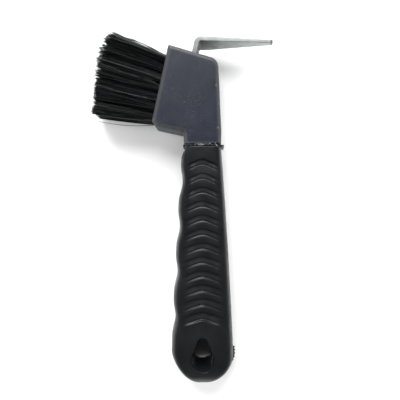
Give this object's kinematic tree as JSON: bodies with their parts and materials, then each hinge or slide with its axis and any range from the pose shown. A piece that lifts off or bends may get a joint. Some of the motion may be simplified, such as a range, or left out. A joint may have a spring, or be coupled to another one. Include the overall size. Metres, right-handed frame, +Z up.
{
  "type": "hoof pick",
  "caption": "Hoof pick with a bent flat steel hook, a stiff brush on the other side of its moulded head, and a ribbed rubber grip with a hanging hole.",
  "frame": {"origin": "bottom centre of the whole tool's box, on the surface that the tool lies on", "axes": "+Y along the handle from the butt to the head, +X towards the hook's tip with the brush at -X, +Z up out of the surface, through the tool's thickness"},
  "size_m": [0.0982, 0.1914, 0.023],
  "materials": {
    "grey_plastic": "satin, finely grained and lightly scuffed",
    "galvanised_steel": "zinc plated, dull grey sheen",
    "black_rubber": "matte soft-touch rubber",
    "black_bristle": "stiff nylon filament, semi-gloss",
    "staple_wire": "bright wire"
  },
  "bodies": {
    "root": {"head_and_core": "grey_plastic", "steel_hook": "galvanised_steel", "rubber_grip": "black_rubber", "bristle_tuft_a1": "black_bristle", "bristle_tuft_a2": "black_bristle", "bristle_tuft_a3": "black_bristle", "bristle_tuft_a4": "black_bristle", "bristle_tuft_a5": "black_bristle", "bristle_tuft_a6": "black_bristle", "bristle_tuft_a7": "black_bristle", "bristle_tuft_b1": "black_bristle", "bristle_tuft_b2": "black_bristle", "bristle_tuft_b3": "black_bristle", "bristle_tuft_b4": "black_bristle", "bristle_tuft_b5": "black_bristle", "bristle_tuft_b6": "black_bristle", "bristle_tuft_b7": "black_bristle", "bristle_tuft_c1": "black_bristle", "bristle_tuft_c2": "black_bristle", "bristle_tuft_c3": "black_bristle", "bristle_tuft_c4": "black_bristle", "bristle_tuft_c5": "black_bristle", "bristle_tuft_c6": "black_bristle", "bristle_tuft_c7": "black_bristle", "tuft_staples": "staple_wire"}
  },
  "joints": []
}
